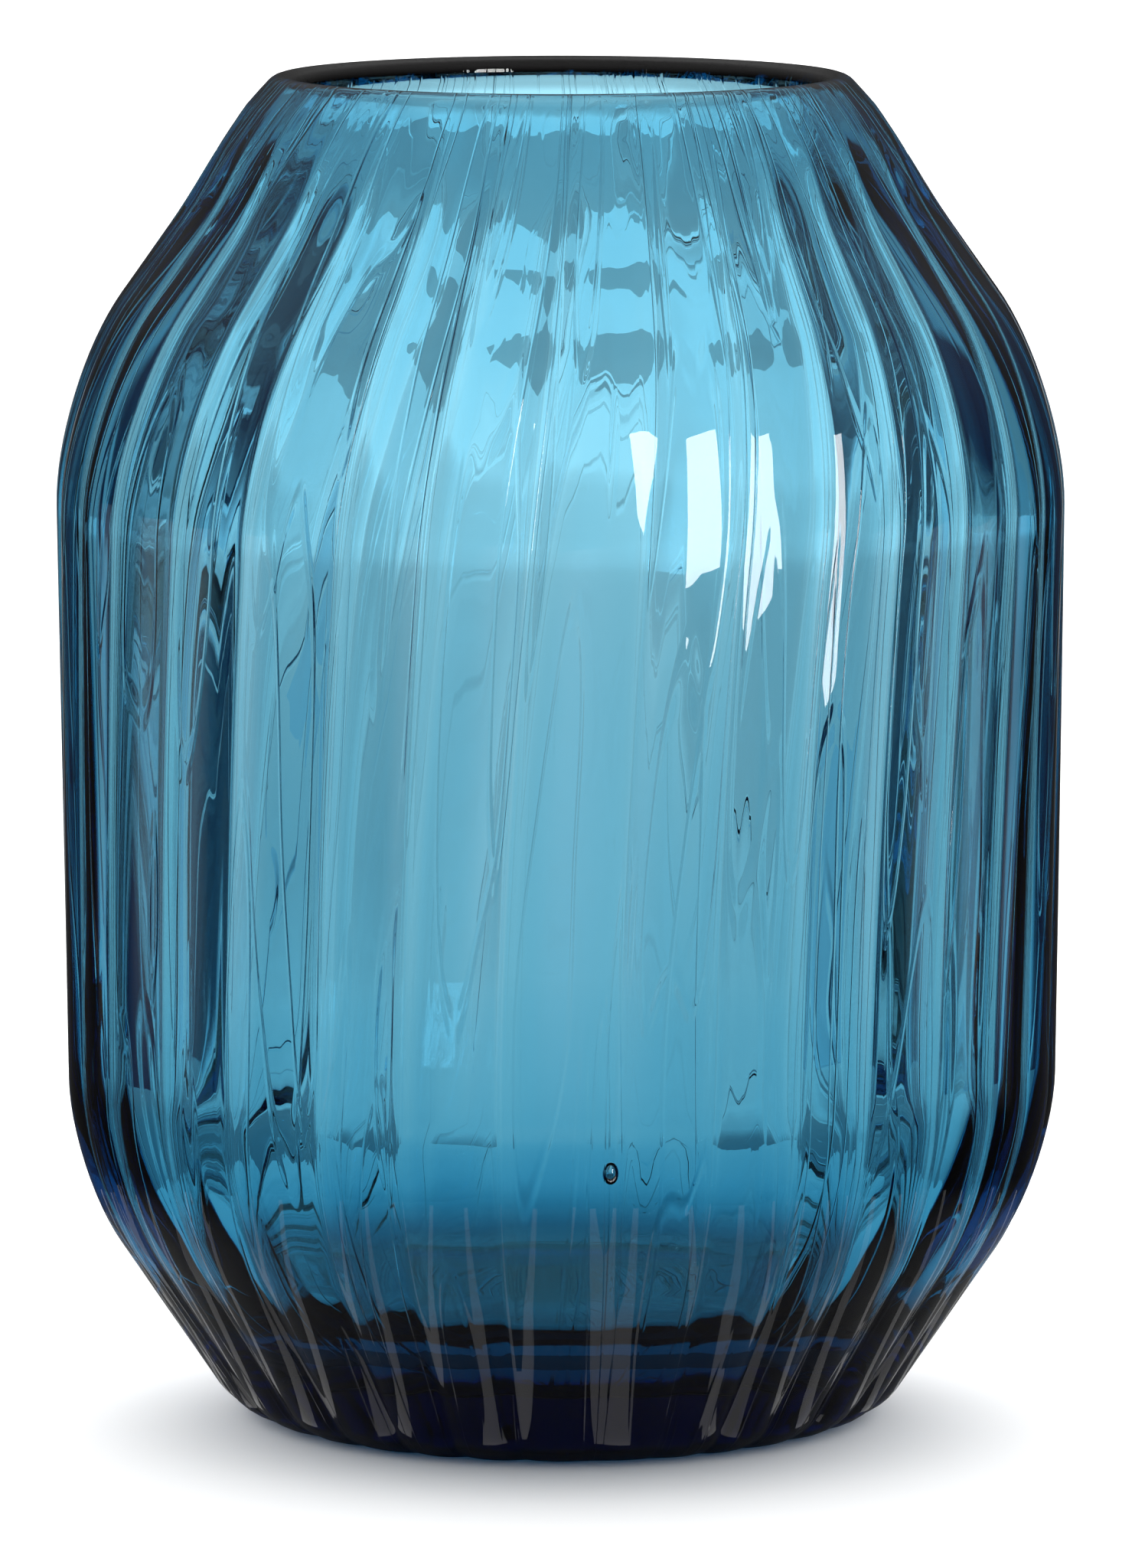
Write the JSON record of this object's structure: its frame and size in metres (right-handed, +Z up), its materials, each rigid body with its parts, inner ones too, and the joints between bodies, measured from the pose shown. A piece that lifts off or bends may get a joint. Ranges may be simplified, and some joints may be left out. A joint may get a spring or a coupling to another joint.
{
  "type": "ribbed glass vase",
  "caption": "Mouth-blown blue glass vase with soft upright ribs, a heavy base, a sloping shoulder and a wide rounded mouth.",
  "frame": {"origin": "centre of the resting face, on the vase's axis", "axes": "+Z up along the vase's axis, out of the mouth; -Y is the front that the picture shows"},
  "size_m": [0.1504, 0.1504, 0.2],
  "materials": {
    "blue_glass": "fire-polished clear blue glass"
  },
  "bodies": {
    "root": {"glass_vessel": "blue_glass"}
  },
  "joints": []
}
